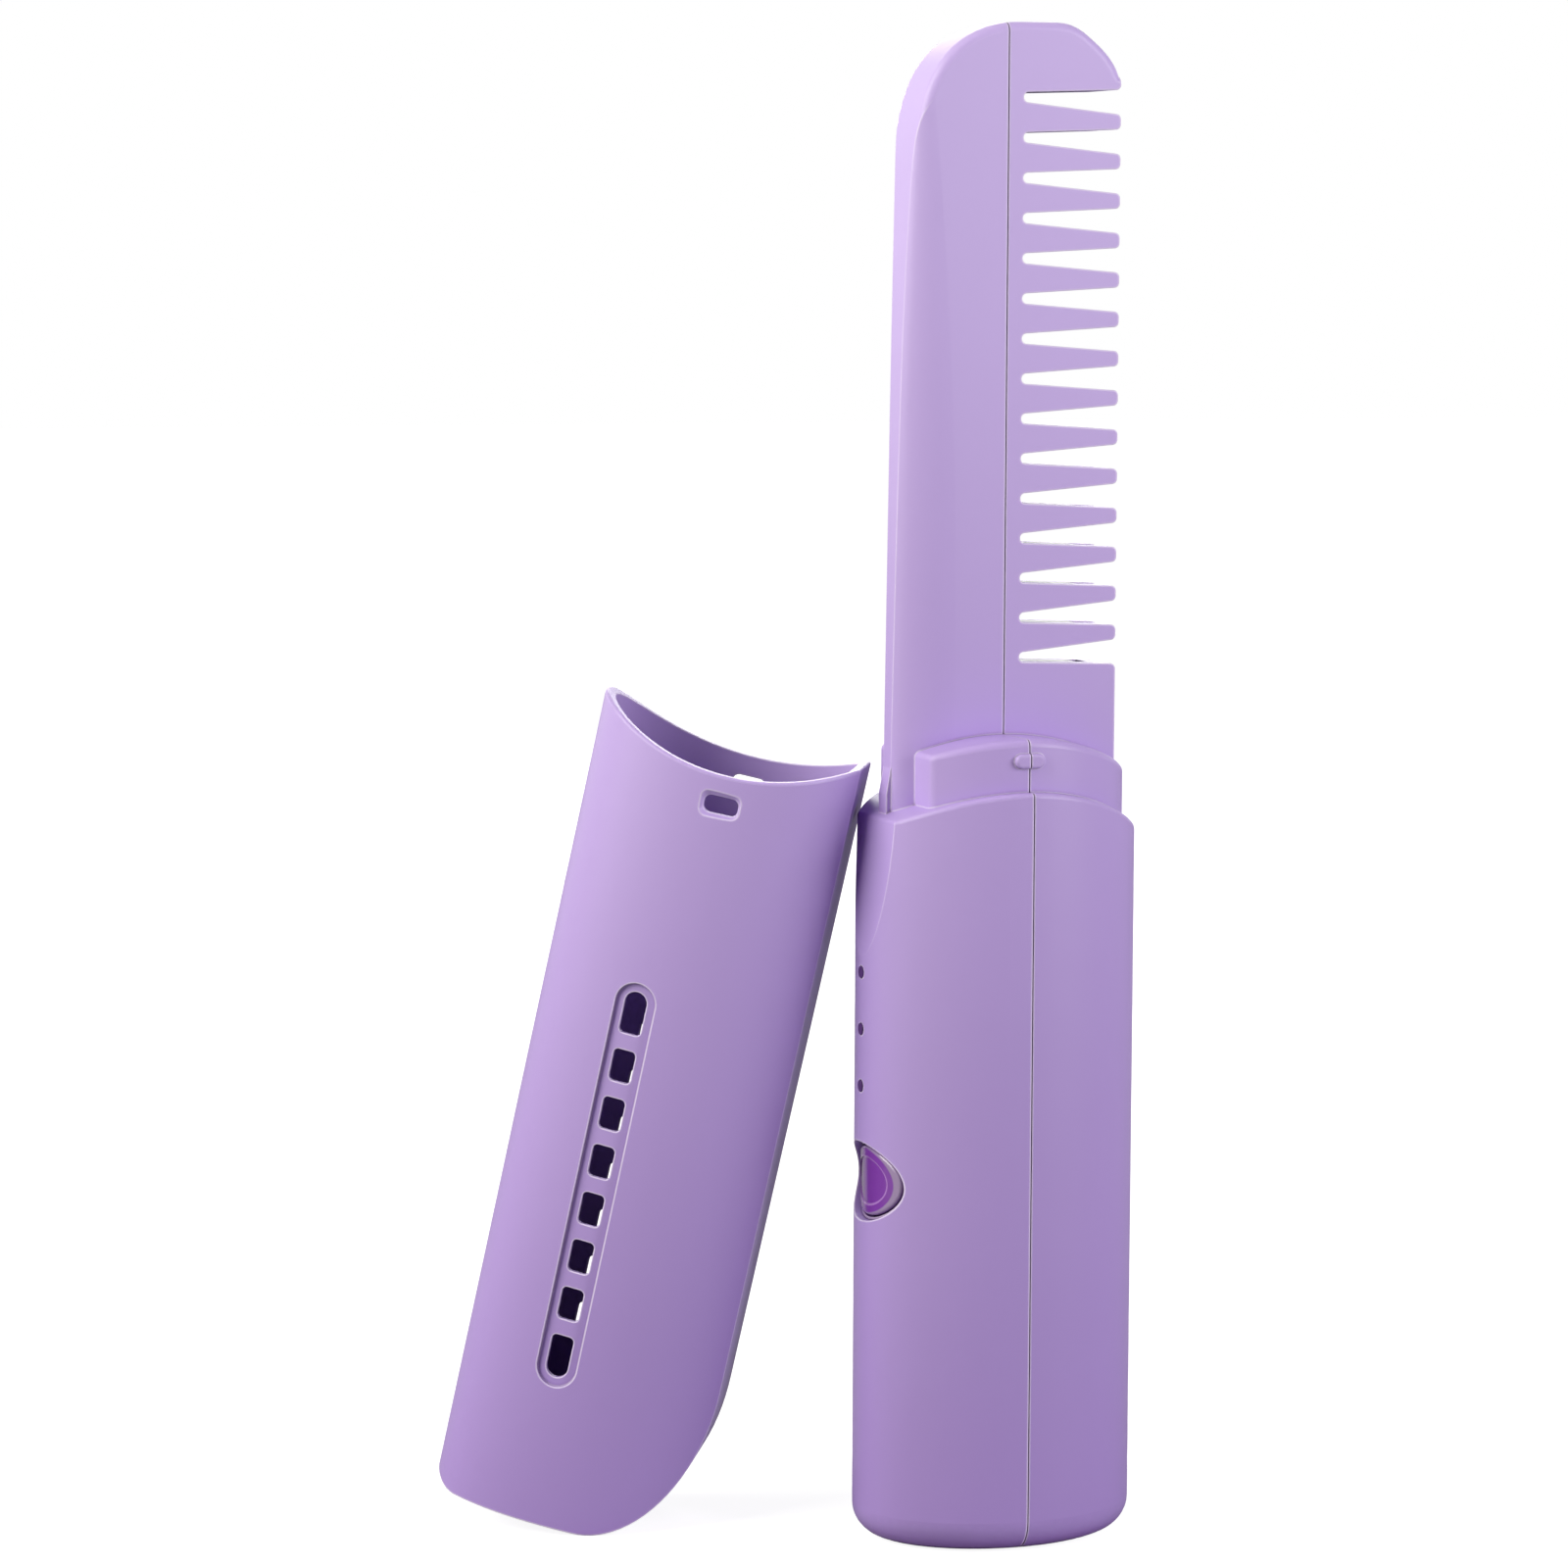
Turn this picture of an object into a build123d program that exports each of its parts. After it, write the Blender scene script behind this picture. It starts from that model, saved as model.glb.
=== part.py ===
from build123d import *
import math
import os

os.makedirs("parts", exist_ok=True)

# Frame: millimetres, origin at the middle of the flat base, +Z up along the handle,
# +X from the spine of the comb to its teeth, Y across the thickness.

# ---- handle ----------------------------------------------------------------------
HANDLE_HALF_WIDTH = 16.9       # X, half of the oval section
HANDLE_HALF_THICK = 13.3       # Y, half of the oval section
HANDLE_WALL = 1.8
BASE_WALL = 1.8
BASE_ROUND = 3.8
PARTING_X = -0.8               # the two half shells meet in this plane
PARTING_GAP = 0.12

# ---- shoulder and collar that the cap seats on -------------------------------------
SHOULDER_X = -1.0              # crown of the arched shoulder
SHOULDER_TOP = 89.4
SHOULDER_RADIUS = 30.0
SHOULDER_ROUND = 0.5
BACK_AT_SHOULDER = 15.2        # the back leans in to this distance under the shoulder
LEAN_HEIGHT = 17.5             # height over which it leans
LEAN_BELOW = 4.0               # it has leaned in this far below the crown
LEAN_EDGE = 0.3                # the lean starts this far outside the skin
LEAN_BOW = (0.6, 0.45)         # where its curve passes, as shares of its width and height
COLLAR_STEP = 1.5
COLLAR_RISE = 6.1
COLLAR_ROUND = 0.8
COLLAR_BACK = 11.6             # the collar stops here and the spine goes on behind it
COLLAR_BACK_ROUND = 1.4
COLLAR_WALL = 1.6
COLLAR_ROOT = 12.0             # how far the collar and the cap's skirt reach below the crown

# ---- comb head ---------------------------------------------------------------------
HEAD_TOP = 178.0
HEAD_THICK = 8.0
HEAD_ROUND = 1.0
HEAD_WALL = 1.5
SPINE_WALL = 1.7
CROWN_WALL = 5.1               # solid plastic under the crown
HEAD_ROOT = 6.0                # how far the head reaches down into the shoulder
SPINE_FOOT_X = -13.9
SPINE_MID = (-13.3, HEAD_TOP - 54.0)
SPINE_SHOULDER = (-12.3, HEAD_TOP - 18.0)
CROWN_BEND = (-11.0, HEAD_TOP - 8.7)
CROWN_CORNER = (-7.9, HEAD_TOP - 3.4)
CROWN_TOP_X = 1.0
NOSE_START_X = 5.6
NOSE_MID = (9.9, HEAD_TOP - 1.8)
NOSE_END_Z = HEAD_TOP - 6.1
SPINE_ROUND_FOOT = (6.0, 3.2)  # half axes, in X and Y, of the oval rounding of the spine's edges
SPINE_ROUND_MID = (4.6, 2.6)
SPINE_ROUND_TOP = (0.3, 0.2)
SPINE_MID_DROP = 30.0          # below the top of the head
SPINE_MID_X = -12.85
SPINE_TOP_X = -11.4

# ---- teeth -------------------------------------------------------------------------
TOP_BLOCK = 8.66               # solid head above the first gap
LOW_BLOCK = 8.5                # and at least this much between the last gap and the collar
ROOT_PITCH = 4.634             # the teeth lean together a little towards their tips
TIP_PITCH = 4.574
TOOTH_COUNT = int((HEAD_TOP - TOP_BLOCK - SHOULDER_TOP - COLLAR_RISE - LOW_BLOCK) / ROOT_PITCH)
TEETH_MIDDLE_Z = HEAD_TOP - TOP_BLOCK - TOOTH_COUNT / 2 * ROOT_PITCH
ROOT_X = 1.1
TIP_X = 13.4
ROOT_GAP = 1.2
TIP_GAP = 2.86
TIP_ROUND = 0.62
SLOT_WIDTH = 3.2               # space between the two rows of guard teeth
SLOT_FRONT_X = 10.9            # the slot stays blind inside the two end blocks
SLOT_MARGIN = 2.2              # how far it runs on past the first and last gap

# ---- heater comb and what heats it --------------------------------------------------
HEATER_THICK = 2.4
HEATER_TIP_X = 9.95
HEATER_BACK_X = -6.4
HEATER_END = 1.6               # metal past the first and last gap
HEATER_CLEAR = 0.1
CERAMIC_THICK = 1.0
CERAMIC_WIDTH = 5.0
CERAMIC_SHORT = 1.44           # it ends this far inside the first and last gap
CERAMIC_LENGTH = TOOTH_COUNT * ROOT_PITCH - 2 * CERAMIC_SHORT
CERAMIC_FROM_BACK = 0.1
SHEET_THICK = 0.2
CARRIER_DEPTH = 2.2
CARRIER_LIP = 1.6
FOOT_WIDE = 1.8
FOOT_HIGH = 2.0
THERMISTOR_DIA = 1.6
FUSE_DIA = 2.4
FUSE_LENGTH = 9.0
FUSE_ABOVE_GAP = 6.0
LEAD_DIA = 1.1
SENSOR_LEAD_DIA = 0.7
LEAD_GAP = 0.05                # between a wire and the face it lies on
LEAD_ON_BOARD = 4.0            # length soldered down on the board
SENSOR_LEAD_ON_BOARD = 1.6
LEAD_BEND = 5.0
SENSOR_SPREAD = 0.42           # half the distance between the two sensor wires

# ---- power pack ----------------------------------------------------------------------
CELL_DIA = 18.3
CELL_LENGTH = 65.0
CELL_X = 2.7
CELL_FOOT_Z = 9.5
TAB_WIDTH = 6.0
TAB_THICK = 0.2
TAB_LEG = 5.0
TAB_REACH = 5.0
TAB_OFF_CELL = 0.5             # the legs stand this far off the cell's side
LEAD_FROM_END = 2.0
LEAD_DROP = 6.0
LEAD_SPREAD = 1.6
SMALL_BEND = 0.9
PAD_THICK = 3.0
PAD_SIDE = 9.0
CRADLE_RIB = 2.0
CRADLE_CLEAR = 0.1
CRADLE_FROM_ENDS = 12.0

# ---- circuit board --------------------------------------------------------------------
BOARD_X = -9.6                 # middle plane of the board
BOARD_THICK = 1.2
BOARD_WIDTH = 15.0
BOARD_FOOT_Z = 2.6
BOARD_TOP_Z = 80.0
BOSS_DIA = 4.4
BOSS_HEIGHTS = (26.0, 75.0)
SCREW_DIA = 1.7
SCREW_HEAD_DIA = 3.4
SCREW_HEAD_HIGH = 1.1
SCREW_LENGTH = 5.0
SCREW_FIT = 0.05
CROSS_WIDE = 0.4
CROSS_SPAN = 2.0
CHIP_HIGH = 1.0
CONTROL_CHIP = (54.0, 0.0, 6.0, 6.0)       # place in Z and Y, then size in Z and Y
CHARGER_CHIP = (12.5, -5.0, 3.0, 4.0)
TRANSISTOR = (62.0, -4.5, 6.0, 5.0)
INDUCTOR = (32.5, 3.3, 5.0, 5.0)
INDUCTOR_HIGH = 2.0

# ---- charging socket -------------------------------------------------------------------
SOCKET_WIDE = 8.94
SOCKET_HIGH = 3.26
SOCKET_DEEP = 7.35
SOCKET_SKIN = 0.3
SOCKET_END = 1.0
SOCKET_RECESS = 0.5
SOCKET_CLEAR = 0.15
TONGUE_WIDE = 6.7
TONGUE_THICK = 0.7
TONGUE_LENGTH = 5.0

# ---- power button and its switch ---------------------------------------------------------
BUTTON_Z = 42.95
OPENING_WIDE = 14.3
OPENING_HIGH = 9.3
BUTTON_WIDE = 11.9
BUTTON_HIGH = 8.2
BUTTON_CLEAR = 0.2
BUTTON_SINK = 0.8              # button face below the skin of the handle
BUTTON_EDGE = 0.45
DISH_WIDE = 8.2                # shallow dish in the face for the finger
DISH_HIGH = 5.6
DISH_DEEP = 0.15
RING_SINK = 1.0
RING_FIT = 0.05
FLANGE_OVERLAP = 0.5           # how far the flange reaches behind the wall, above and below
FLANGE_WIDE = 12.7
FLANGE_THICK = 0.7
FLANGE_CLEAR = 0.2
BUTTON_TRAVEL = 0.3
SWITCH_SIDE = 6.0
SWITCH_HIGH = 2.8
PLUNGER_DIA = 3.4
PLUNGER_CLEAR = 0.1
PLUNGER_GAP = 0.2
PLUNGER_SUNK = 1.0

# ---- charge lights --------------------------------------------------------------------
LIGHT_COUNT = 3
LIGHT_PITCH = 6.72
LIGHT_MIDDLE_Z = 60.94
LIGHT_DIA = 1.4
LIGHT_PROUD = 0.1
GUIDE_FIT = 0.05
GUIDE_BAR = 2.4
GUIDE_BAR_THICK = 0.8
LED_SIDE = 1.6
LED_HIGH = 0.8

# ---- snap nub, ribs ------------------------------------------------------------------------
NUB_WIDE = 3.7
NUB_HIGH = 1.7
NUB_PROUD = 0.5
NUB_BELOW_COLLAR = 2.45
RIB_WIDE = 2.4
RIB_HIGH = 5.2
RIB_PROUD = 0.45

# ---- cap ------------------------------------------------------------------------------------
CAP_WALL = 1.3
CAP_GAP = 0.15                 # closed cap to shoulder
CAP_END_CLEAR = 2.85           # closed cap's end above the head
CAP_TIP_HALF_WIDTH = 16.7
CAP_TIP_HALF_THICK = 10.2
CAP_BACK_AT_END = 15.0
CAP_MOUTH_ROUND = 0.3
CAP_BIG_CORNER = (13.0, 19.5)  # half axes of the oval corner at the back
CAP_SMALL_CORNER = 3.4
VENT_X = 4.1
VENT_PITCH = 5.87
VENTS_FROM_CROWN = 30.6        # first vent above the shoulder's crown
VENTS_FROM_TOP = 16.9          # last vent below the top of the head, at least
VENT_COUNT = 1 + int((HEAD_TOP - VENTS_FROM_TOP - SHOULDER_TOP - VENTS_FROM_CROWN) / VENT_PITCH)
VENT_FIRST_Z = SHOULDER_TOP + VENTS_FROM_CROWN
VENT_WIDE = 2.7
VENT_HIGH = 3.9
VENT_ROUND = 0.6
VENT_END_EXTRA = 1.2           # the first and last vent are longer by this
VENT_RECESS = 0.5
VENT_MARGIN = 1.1
SLOT_NUB_CLEAR = 0.2
SLOT_BEVEL = 0.5               # the slot opens outwards over this depth

# ---- cap as it stands beside the handle: upside down, leaning on the shoulder ---------------------
CAP_TURN = -28.0               # about Z
CAP_LEAN = 12.3                # from the vertical, towards the handle
CAP_SIDE = -1.0                # offset along the shoulder
CAP_AIR = 0.3                  # space left to the handle

FAR = 60.0


def side_slab(sketch, half=FAR):
    """A sketch drawn as (X, Z), made solid to both sides in Y."""
    return extrude(Plane.XZ * sketch, half, both=True)


def oval_column(half_x, half_y, bottom, top):
    return Pos(0, 0, bottom) * extrude(Ellipse(half_x, half_y), top - bottom)


def under_arch(top, radius=SHOULDER_RADIUS):
    """Everything below an arch whose crown is at the given height."""
    centre = top - radius
    disc = Pos(SHOULDER_X, centre) * Circle(radius)
    block = Pos(SHOULDER_X, centre - FAR) * Rectangle(2 * radius, 2 * FAR)
    return side_slab(disc + block)


def half_space(x_from, x_to):
    return Pos((x_from + x_to) / 2, 0, HEAD_TOP / 2) * Box(x_to - x_from, 2 * FAR, 3 * HEAD_TOP)


# ------------------------------------------------------------------ outside of the body
def leaning_back(inset):
    """What is cut from the back of the handle, where it leans in under the shoulder."""
    top = SHOULDER_TOP - LEAN_BELOW
    start = (-HANDLE_HALF_WIDTH - LEAN_EDGE + inset, top - LEAN_HEIGHT)
    end = (-BACK_AT_SHOULDER + inset, top)
    middle = (start[0] + LEAN_BOW[0] * (end[0] - start[0]), start[1] + LEAN_BOW[1] * (end[1] - start[1]))
    edge = ThreePointArc(start, middle, end)
    rest = Polyline(end, (end[0], top + FAR), (-FAR, top + FAR), (-FAR, start[1]), start)
    return side_slab(make_face(edge + rest))


def handle_form(inset):
    half_x = HANDLE_HALF_WIDTH - inset
    half_y = HANDLE_HALF_THICK - inset
    floor = BASE_WALL if inset else 0.0
    form = oval_column(half_x, half_y, floor, SHOULDER_TOP + 1.0)
    form = fillet(form.edges().group_by(Axis.Z)[0], BASE_ROUND - inset)
    form -= leaning_back(inset)
    return form & under_arch(SHOULDER_TOP - inset)


def collar_form(inset):
    half_x = HANDLE_HALF_WIDTH - COLLAR_STEP - inset
    half_y = HANDLE_HALF_THICK - COLLAR_STEP - inset
    form = oval_column(half_x, half_y, SHOULDER_TOP - COLLAR_ROOT, SHOULDER_TOP + FAR)
    form &= half_space(-COLLAR_BACK + inset, FAR)
    upright = [e for e in form.edges() if e.bounding_box().size.Y < 0.01]
    back_edges = ShapeList(upright).group_by(Axis.X)[0]
    form = fillet(back_edges, COLLAR_BACK_ROUND)
    return form & under_arch(SHOULDER_TOP + COLLAR_RISE - inset)


def gap_sketch(index):
    """One gap between teeth: a round root and straight flanks that open to the tips."""
    place = (TOOTH_COUNT / 2 - index)
    root_z = TEETH_MIDDLE_Z + place * ROOT_PITCH
    tip_z = TEETH_MIDDLE_Z + place * TIP_PITCH
    beyond = (TIP_X + 3.0 - ROOT_X) / (TIP_X - ROOT_X)
    out_x = ROOT_X + beyond * (TIP_X - ROOT_X)
    out_z = root_z + beyond * (tip_z - root_z)
    out_half = (ROOT_GAP + beyond * (TIP_GAP - ROOT_GAP)) / 2
    root_half = ROOT_GAP / 2
    centre_x = ROOT_X + root_half
    flanks = make_face(Polyline((centre_x, root_z - root_half), (out_x, out_z - out_half),
                                (out_x, out_z + out_half), (centre_x, root_z + root_half), close=True))
    return flanks + Pos(centre_x, root_z) * Circle(root_half)


def gap_edge(end, at_x):
    """Height of the outer flank of the first (+1) or last (-1) gap."""
    share = (at_x - ROOT_X) / (TIP_X - ROOT_X)
    pitch = ROOT_PITCH + share * (TIP_PITCH - ROOT_PITCH)
    gap = ROOT_GAP + share * (TIP_GAP - ROOT_GAP)
    return TEETH_MIDDLE_Z + end * (TOOTH_COUNT / 2 * pitch + gap / 2)


def head_outline():
    """Side view of the head, before the gaps are cut."""
    foot_z = SHOULDER_TOP - HEAD_ROOT
    spine = Spline((SPINE_FOOT_X, foot_z), SPINE_MID, SPINE_SHOULDER, CROWN_BEND, CROWN_CORNER,
                   (CROWN_TOP_X, HEAD_TOP), tangents=((0.01, 1.0), (1.0, 0.0)))
    top = Line((CROWN_TOP_X, HEAD_TOP), (NOSE_START_X, HEAD_TOP))
    nose = Spline((NOSE_START_X, HEAD_TOP), NOSE_MID, (TIP_X, NOSE_END_Z),
                  tangents=((1.0, 0.0), (0.35, -1.0)))
    front = Polyline((TIP_X, NOSE_END_Z), (TIP_X, foot_z), (SPINE_FOOT_X, foot_z))
    return make_face(spine + top + nose + front)


def crown_edges(solid):
    """The long edges of the spine, crown and nose on both flat sides."""
    found = []
    for edge in solid.edges():
        middle = edge @ 0.5
        on_side = abs(abs(middle.Y) - HEAD_THICK / 2) < 0.01
        if not on_side or abs(edge.bounding_box().size.Y) > 0.01:
            continue
        if middle.Z > NOSE_END_Z or middle.X < PARTING_X - 5.0:
            if edge.bounding_box().max.Z > NOSE_END_Z:
                found.append(edge)
    return ShapeList(found)


def spine_section(height, back_x, rounding, inset):
    """Section across the head, open to the front, with its two back corners rounded to ovals."""
    half = HEAD_THICK / 2 - inset
    back = back_x + inset
    round_x = max(rounding[0] - inset, SPINE_ROUND_TOP[0])
    round_y = max(rounding[1] - inset, SPINE_ROUND_TOP[1])
    front_x = TIP_X + 5.0
    corner_x = back + round_x
    flat = half - round_y
    near = Line((front_x, -half), (corner_x, -half))
    near_corner = EllipticalCenterArc((corner_x, -flat), round_x, round_y, start_angle=180, arc_size=90)
    spine = Line((back, -flat), (back, flat))
    far_corner = EllipticalCenterArc((corner_x, flat), round_x, round_y, start_angle=90, arc_size=90)
    far = Polyline((corner_x, half), (front_x, half), (front_x, -half))
    return Pos(0, 0, height) * make_face(near + near_corner + spine + far_corner + far)


def spine_envelope(inset):
    """What the rounding of the spine leaves of the head; a wall thinner when inset."""
    return loft([
        spine_section(SHOULDER_TOP - 2 * HEAD_ROOT, SPINE_FOOT_X, SPINE_ROUND_FOOT, inset),
        spine_section(HEAD_TOP - SPINE_MID_DROP, SPINE_MID_X, SPINE_ROUND_MID, inset),
        spine_section(HEAD_TOP + HEAD_ROUND, SPINE_TOP_X, SPINE_ROUND_TOP, inset)])


def head_form():
    form = side_slab(head_outline(), HEAD_THICK / 2)
    form = fillet(crown_edges(form), HEAD_ROUND)
    return form & spine_envelope(0)


def head_hollow():
    """Room in the head for the heater, open downwards into the collar."""
    low = SHOULDER_TOP - HEAD_ROOT
    high = HEAD_TOP - CROWN_WALL
    outline = Polyline((SPINE_FOOT_X + SPINE_WALL, low), (SPINE_MID[0] + SPINE_WALL, SPINE_MID[1]),
                       (SPINE_SHOULDER[0] + SPINE_WALL, SPINE_SHOULDER[1]),
                       (CROWN_CORNER[0], high), (PARTING_X, high),
                       (PARTING_X, low), close=True)
    room = side_slab(make_face(outline), HEAD_THICK / 2 - HEAD_WALL)
    return room & spine_envelope(HEAD_WALL)


def heater_slot():
    """The slot between the two rows of guard teeth, blind inside the end blocks."""
    out_x = TIP_X + 1.0
    start_x = PARTING_X - 1.0
    blind = make_face(Polyline(
        (start_x, gap_edge(-1, ROOT_X) - SLOT_MARGIN), (SLOT_FRONT_X, gap_edge(-1, ROOT_X) - SLOT_MARGIN),
        (SLOT_FRONT_X, gap_edge(1, ROOT_X) + SLOT_MARGIN), (start_x, gap_edge(1, ROOT_X) + SLOT_MARGIN),
        close=True))
    between_tips = make_face(Polyline(
        (ROOT_X, gap_edge(-1, ROOT_X)), (out_x, gap_edge(-1, out_x)),
        (out_x, gap_edge(1, out_x)), (ROOT_X, gap_edge(1, ROOT_X)), close=True))
    return side_slab(blind + between_tips, SLOT_WIDTH / 2)


def tooth_gaps(tip_x, tip_round):
    """All gaps as one sketch, with the corners of the teeth rounded at the given tip line."""
    low = gap_edge(-1, tip_x) - 2 * TIP_GAP
    high = gap_edge(1, tip_x) + 2 * TIP_GAP
    gaps = gap_sketch(0)
    for index in range(1, TOOTH_COUNT + 1):
        gaps += gap_sketch(index)
    band = make_face(Polyline((PARTING_X, low), (tip_x, low), (tip_x, high), (PARTING_X, high),
                              close=True))
    comb = band - gaps
    corners = [v for v in comb.vertices() if abs(v.X - tip_x) < 0.01 and low + 0.1 < v.Y < high - 0.1]
    return band - fillet(corners, tip_round)


def snap_nub():
    z = SHOULDER_TOP + COLLAR_RISE - NUB_BELOW_COLLAR
    reach = HANDLE_HALF_THICK - COLLAR_STEP + NUB_PROUD
    pill = side_slab(Pos(PARTING_X, z) * SlotOverall(NUB_WIDE, NUB_HIGH), reach)
    ends = [e for e in pill.edges()
            if abs(abs((e @ 0.5).Y) - reach) < 0.01 and e.bounding_box().size.Y < 0.01]
    pill = fillet(ends, NUB_PROUD * 0.7)
    return pill - oval_column(HANDLE_HALF_WIDTH - COLLAR_STEP - 1.0, HANDLE_HALF_THICK - COLLAR_STEP - 1.0,
                              0, HEAD_TOP)


def back_rib():
    """Small wedge at the foot of the spine that grips the cap."""
    low = SHOULDER_TOP - HEAD_ROOT
    ledge = arch_height(SPINE_FOOT_X, SHOULDER_TOP)
    outline = Polyline((SPINE_FOOT_X + 1.0, low), (SPINE_FOOT_X - RIB_PROUD, low),
                       (SPINE_FOOT_X - RIB_PROUD, ledge + 0.4 * RIB_HIGH),
                       (SPINE_FOOT_X + 0.1, ledge + RIB_HIGH), (SPINE_FOOT_X + 1.0, ledge + RIB_HIGH),
                       close=True)
    return side_slab(make_face(outline), RIB_WIDE / 2)


def arch_height(x, top, radius=SHOULDER_RADIUS):
    return top - radius + math.sqrt(radius ** 2 - (x - SHOULDER_X) ** 2)


def top_rim(form, above):
    """Edges round the top of a column, on its outer wall."""
    highest = form.faces().sort_by(Axis.Z)[-1]
    return [e for e in highest.edges() if (e @ 0.5).Z > above]


def outer_body():
    handle = handle_form(0)
    handle = fillet(top_rim(handle, SHOULDER_TOP - COLLAR_ROOT), SHOULDER_ROUND)
    collar = collar_form(0)
    collar = fillet(top_rim(collar, SHOULDER_TOP), COLLAR_ROUND)
    head = head_form()
    head -= side_slab(tooth_gaps(TIP_X, TIP_ROUND))
    return handle + collar + head + snap_nub() + back_rib()


def inner_room():
    return handle_form(HANDLE_WALL) + collar_form(COLLAR_WALL) + head_hollow() + heater_slot()


# ------------------------------------------------------------------ openings in the back of the handle
def skin_patch(sketch_yz, outer_depth, inner_depth):
    """A patch of the handle's back between two depths under its skin, in the outline of a sketch
    drawn as (Y, Z)."""
    prism = extrude(Plane.YZ * sketch_yz, -FAR)
    outer = oval_column(HANDLE_HALF_WIDTH - outer_depth, HANDLE_HALF_THICK - outer_depth, 0, HEAD_TOP)
    inner = oval_column(HANDLE_HALF_WIDTH - inner_depth, HANDLE_HALF_THICK - inner_depth, 0, HEAD_TOP)
    return (prism & outer) - inner


def oval(wide, high):
    return Pos(0, BUTTON_Z) * Ellipse(wide / 2, high / 2)


def light_places():
    middle = (LIGHT_COUNT - 1) / 2
    return [LIGHT_MIDDLE_Z + (middle - i) * LIGHT_PITCH for i in range(LIGHT_COUNT)]


def rod_x(x_from, x_to, y, z, diameter):
    """A round rod along X."""
    return Pos((x_from + x_to) / 2, y, z) * Rot(0, 90, 0) * Cylinder(diameter / 2, abs(x_to - x_from))


def block(x0, x1, y0, y1, z0, z1):
    return Pos((x0 + x1) / 2, (y0 + y1) / 2, (z0 + z1) / 2) * Box(x1 - x0, y1 - y0, z1 - z0)


BOARD_OUT = BOARD_X - BOARD_THICK / 2      # face towards the back of the handle
BOARD_IN = BOARD_X + BOARD_THICK / 2       # face towards the cell
SOCKET_X = BOARD_IN + SOCKET_HIGH / 2


def socket_profile(grow):
    return RectangleRounded(SOCKET_HIGH + 2 * grow, SOCKET_WIDE + 2 * grow, SOCKET_HIGH / 2 + grow - 0.05)


def back_openings():
    cut = extrude(Plane.YZ * oval(OPENING_WIDE, OPENING_HIGH), -FAR)
    for z in light_places():
        cut += rod_x(-FAR, BOARD_OUT, 0, z, LIGHT_DIA + 2 * GUIDE_FIT)
    port = extrude(Pos(SOCKET_X, 0, -1.0) * socket_profile(SOCKET_CLEAR), BASE_WALL + 2.0)
    return cut + port


def board_bosses():
    start = -HANDLE_HALF_WIDTH + HANDLE_WALL * 0.6
    bosses = rod_x(start, BOARD_OUT, 0, BOSS_HEIGHTS[0], BOSS_DIA)
    for z in BOSS_HEIGHTS[1:]:
        bosses += rod_x(start, BOARD_OUT, 0, z, BOSS_DIA)
    for z in BOSS_HEIGHTS:
        bosses -= rod_x(BOARD_IN - SCREW_LENGTH - 0.4, BOARD_IN, 0, z, SCREW_DIA + 2 * SCREW_FIT)
    return bosses


def cell_cradle():
    """Ribs of the front shell that hold the cell and its pads."""
    room = handle_form(HANDLE_WALL - 0.3) & half_space(PARTING_X + PARTING_GAP / 2 + 0.3, FAR)
    top_z = CELL_FOOT_Z + CELL_LENGTH
    levels = (CELL_FOOT_Z + CRADLE_FROM_ENDS, top_z - CRADLE_FROM_ENDS)
    ribs = block(CELL_X, FAR, -FAR, FAR, levels[0] - CRADLE_RIB / 2, levels[0] + CRADLE_RIB / 2)
    ribs += block(CELL_X, FAR, -FAR, FAR, levels[1] - CRADLE_RIB / 2, levels[1] + CRADLE_RIB / 2)
    bore = Pos(CELL_X, 0, 0) * extrude(Circle(CELL_DIA / 2 + CRADLE_CLEAR), FAR * 2)
    ribs -= bore
    shelf_low = CELL_FOOT_Z - TAB_THICK - PAD_THICK
    shelf_high = top_z + TAB_THICK + PAD_THICK
    ribs += block(0.5, FAR, -FAR, FAR, shelf_low - CRADLE_RIB, shelf_low)
    ribs += block(0.5, FAR, -FAR, FAR, shelf_high, shelf_high + CRADLE_RIB)
    return ribs & room


def make_shells():
    body = outer_body()
    room = inner_room()
    body -= room
    front = (body & half_space(PARTING_X + PARTING_GAP / 2, FAR)) + cell_cradle()
    back = (body & half_space(-FAR, PARTING_X - PARTING_GAP / 2)) + board_bosses()
    back -= back_openings()
    return back, front


# ------------------------------------------------------------------ heater
def heater_comb():
    low = gap_edge(-1, ROOT_X) - HEATER_END
    high = gap_edge(1, ROOT_X) + HEATER_END
    plate = make_face(Polyline((HEATER_BACK_X, low), (HEATER_TIP_X, low),
                               (HEATER_TIP_X, high), (HEATER_BACK_X, high), close=True))
    return side_slab(plate - tooth_gaps(HEATER_TIP_X, TIP_ROUND), HEATER_THICK / 2)


def ceramic_heater():
    x0 = HEATER_BACK_X + CERAMIC_FROM_BACK
    y0 = HEATER_THICK / 2
    z0 = TEETH_MIDDLE_Z - CERAMIC_LENGTH / 2
    return block(x0, x0 + CERAMIC_WIDTH, y0, y0 + CERAMIC_THICK, z0, z0 + CERAMIC_LENGTH)


def insulation_sheets():
    x0 = HEATER_BACK_X + CERAMIC_FROM_BACK
    z0 = TEETH_MIDDLE_Z - CERAMIC_LENGTH / 2
    sheets = []
    for y in (HEATER_THICK / 2 + CERAMIC_THICK, -HEATER_THICK / 2 - SHEET_THICK):
        sheets.append(block(x0, x0 + CERAMIC_WIDTH, y, y + SHEET_THICK, z0, z0 + CERAMIC_LENGTH))
    return Compound(sheets)


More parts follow.
